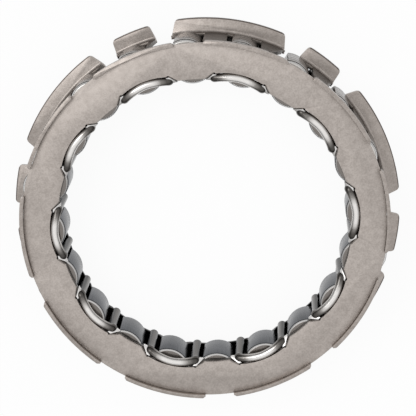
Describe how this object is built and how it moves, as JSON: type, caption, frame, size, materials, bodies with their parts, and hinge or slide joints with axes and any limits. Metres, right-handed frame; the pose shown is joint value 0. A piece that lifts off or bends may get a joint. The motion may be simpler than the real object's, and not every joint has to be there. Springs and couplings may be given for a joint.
{
  "type": "starter clutch",
  "caption": "Ring-shaped one-way clutch element: rocking sprags between an outer and an inner sheet-steel cage, with a lobed front plate and a tabbed back flange.",
  "frame": {"origin": "on the ring's axis, at the back face of the flange", "axes": "+Z along the ring's axis, from the back flange to the front plate; +X through the first sprag's centre"},
  "size_m": [0.0754, 0.0754, 0.0124],
  "materials": {
    "outer_cage_steel": "pressed and tumbled",
    "inner_cage_steel": "rolled bright",
    "front_plate_steel": "tumbled matte",
    "spring_steel": "blue-grey strip",
    "sprag_steel": "hardened and ground"
  },
  "bodies": {
    "cages": {"outer_cage": "outer_cage_steel", "inner_cage": "inner_cage_steel", "front_plate": "front_plate_steel", "ribbon_spring": "spring_steel"},
    "sprag_01": {"sprag_01": "sprag_steel"},
    "sprag_02": {"sprag_02": "sprag_steel"},
    "sprag_03": {"sprag_03": "sprag_steel"},
    "sprag_04": {"sprag_04": "sprag_steel"},
    "sprag_05": {"sprag_05": "sprag_steel"},
    "sprag_06": {"sprag_06": "sprag_steel"},
    "sprag_07": {"sprag_07": "sprag_steel"},
    "sprag_08": {"sprag_08": "sprag_steel"},
    "sprag_09": {"sprag_09": "sprag_steel"},
    "sprag_10": {"sprag_10": "sprag_steel"},
    "sprag_11": {"sprag_11": "sprag_steel"},
    "sprag_12": {"sprag_12": "sprag_steel"},
    "sprag_13": {"sprag_13": "sprag_steel"},
    "sprag_14": {"sprag_14": "sprag_steel"},
    "sprag_15": {"sprag_15": "sprag_steel"},
    "sprag_16": {"sprag_16": "sprag_steel"},
    "sprag_17": {"sprag_17": "sprag_steel"},
    "sprag_18": {"sprag_18": "sprag_steel"},
    "sprag_19": {"sprag_19": "sprag_steel"},
    "sprag_20": {"sprag_20": "sprag_steel"}
  },
  "joints": [
    {"name": "sprag_01_tilt", "type": "hinge", "parent": "cages", "child": "sprag_01", "pos_m": [0.03115, 0, 0.0059], "axis": [0, 0, 1], "range_deg": [-1, 10], "stiffness_Nm_per_rad": 0.01},
    {"name": "sprag_02_tilt", "type": "hinge", "parent": "cages", "child": "sprag_02", "pos_m": [0.02962, 0.00963, 0.0059], "axis": [0, 0, 1], "range_deg": [-1, 10], "stiffness_Nm_per_rad": 0.01},
    {"name": "sprag_03_tilt", "type": "hinge", "parent": "cages", "child": "sprag_03", "pos_m": [0.0252, 0.01831, 0.0059], "axis": [0, 0, 1], "range_deg": [-1, 10], "stiffness_Nm_per_rad": 0.01},
    {"name": "sprag_04_tilt", "type": "hinge", "parent": "cages", "child": "sprag_04", "pos_m": [0.01831, 0.0252, 0.0059], "axis": [0, 0, 1], "range_deg": [-1, 10], "stiffness_Nm_per_rad": 0.01},
    {"name": "sprag_05_tilt", "type": "hinge", "parent": "cages", "child": "sprag_05", "pos_m": [0.00963, 0.02962, 0.0059], "axis": [0, 0, 1], "range_deg": [-1, 10], "stiffness_Nm_per_rad": 0.01},
    {"name": "sprag_06_tilt", "type": "hinge", "parent": "cages", "child": "sprag_06", "pos_m": [0, 0.03115, 0.0059], "axis": [0, 0, 1], "range_deg": [-1, 10], "stiffness_Nm_per_rad": 0.01},
    {"name": "sprag_07_tilt", "type": "hinge", "parent": "cages", "child": "sprag_07", "pos_m": [-0.00963, 0.02962, 0.0059], "axis": [0, 0, 1], "range_deg": [-1, 10], "stiffness_Nm_per_rad": 0.01},
    {"name": "sprag_08_tilt", "type": "hinge", "parent": "cages", "child": "sprag_08", "pos_m": [-0.01831, 0.0252, 0.0059], "axis": [0, 0, 1], "range_deg": [-1, 10], "stiffness_Nm_per_rad": 0.01},
    {"name": "sprag_09_tilt", "type": "hinge", "parent": "cages", "child": "sprag_09", "pos_m": [-0.0252, 0.01831, 0.0059], "axis": [0, 0, 1], "range_deg": [-1, 10], "stiffness_Nm_per_rad": 0.01},
    {"name": "sprag_10_tilt", "type": "hinge", "parent": "cages", "child": "sprag_10", "pos_m": [-0.02962, 0.00963, 0.0059], "axis": [0, 0, 1], "range_deg": [-1, 10], "stiffness_Nm_per_rad": 0.01},
    {"name": "sprag_11_tilt", "type": "hinge", "parent": "cages", "child": "sprag_11", "pos_m": [-0.03115, 0, 0.0059], "axis": [0, 0, 1], "range_deg": [-1, 10], "stiffness_Nm_per_rad": 0.01},
    {"name": "sprag_12_tilt", "type": "hinge", "parent": "cages", "child": "sprag_12", "pos_m": [-0.02962, -0.00963, 0.0059], "axis": [0, 0, 1], "range_deg": [-1, 10], "stiffness_Nm_per_rad": 0.01},
    {"name": "sprag_13_tilt", "type": "hinge", "parent": "cages", "child": "sprag_13", "pos_m": [-0.0252, -0.01831, 0.0059], "axis": [0, 0, 1], "range_deg": [-1, 10], "stiffness_Nm_per_rad": 0.01},
    {"name": "sprag_14_tilt", "type": "hinge", "parent": "cages", "child": "sprag_14", "pos_m": [-0.01831, -0.0252, 0.0059], "axis": [0, 0, 1], "range_deg": [-1, 10], "stiffness_Nm_per_rad": 0.01},
    {"name": "sprag_15_tilt", "type": "hinge", "parent": "cages", "child": "sprag_15", "pos_m": [-0.00963, -0.02962, 0.0059], "axis": [0, 0, 1], "range_deg": [-1, 10], "stiffness_Nm_per_rad": 0.01},
    {"name": "sprag_16_tilt", "type": "hinge", "parent": "cages", "child": "sprag_16", "pos_m": [0, -0.03115, 0.0059], "axis": [0, 0, 1], "range_deg": [-1, 10], "stiffness_Nm_per_rad": 0.01},
    {"name": "sprag_17_tilt", "type": "hinge", "parent": "cages", "child": "sprag_17", "pos_m": [0.00963, -0.02962, 0.0059], "axis": [0, 0, 1], "range_deg": [-1, 10], "stiffness_Nm_per_rad": 0.01},
    {"name": "sprag_18_tilt", "type": "hinge", "parent": "cages", "child": "sprag_18", "pos_m": [0.01831, -0.0252, 0.0059], "axis": [0, 0, 1], "range_deg": [-1, 10], "stiffness_Nm_per_rad": 0.01},
    {"name": "sprag_19_tilt", "type": "hinge", "parent": "cages", "child": "sprag_19", "pos_m": [0.0252, -0.01831, 0.0059], "axis": [0, 0, 1], "range_deg": [-1, 10], "stiffness_Nm_per_rad": 0.01},
    {"name": "sprag_20_tilt", "type": "hinge", "parent": "cages", "child": "sprag_20", "pos_m": [0.02962, -0.00963, 0.0059], "axis": [0, 0, 1], "range_deg": [-1, 10], "stiffness_Nm_per_rad": 0.01}
  ],
  "couplings": [
    {"joint": "sprag_02_tilt", "follows": "sprag_01_tilt", "ratio": 1},
    {"joint": "sprag_03_tilt", "follows": "sprag_01_tilt", "ratio": 1},
    {"joint": "sprag_04_tilt", "follows": "sprag_01_tilt", "ratio": 1},
    {"joint": "sprag_05_tilt", "follows": "sprag_01_tilt", "ratio": 1},
    {"joint": "sprag_06_tilt", "follows": "sprag_01_tilt", "ratio": 1},
    {"joint": "sprag_07_tilt", "follows": "sprag_01_tilt", "ratio": 1},
    {"joint": "sprag_08_tilt", "follows": "sprag_01_tilt", "ratio": 1},
    {"joint": "sprag_09_tilt", "follows": "sprag_01_tilt", "ratio": 1},
    {"joint": "sprag_10_tilt", "follows": "sprag_01_tilt", "ratio": 1},
    {"joint": "sprag_11_tilt", "follows": "sprag_01_tilt", "ratio": 1},
    {"joint": "sprag_12_tilt", "follows": "sprag_01_tilt", "ratio": 1},
    {"joint": "sprag_13_tilt", "follows": "sprag_01_tilt", "ratio": 1},
    {"joint": "sprag_14_tilt", "follows": "sprag_01_tilt", "ratio": 1},
    {"joint": "sprag_15_tilt", "follows": "sprag_01_tilt", "ratio": 1},
    {"joint": "sprag_16_tilt", "follows": "sprag_01_tilt", "ratio": 1},
    {"joint": "sprag_17_tilt", "follows": "sprag_01_tilt", "ratio": 1},
    {"joint": "sprag_18_tilt", "follows": "sprag_01_tilt", "ratio": 1},
    {"joint": "sprag_19_tilt", "follows": "sprag_01_tilt", "ratio": 1},
    {"joint": "sprag_20_tilt", "follows": "sprag_01_tilt", "ratio": 1}
  ]
}
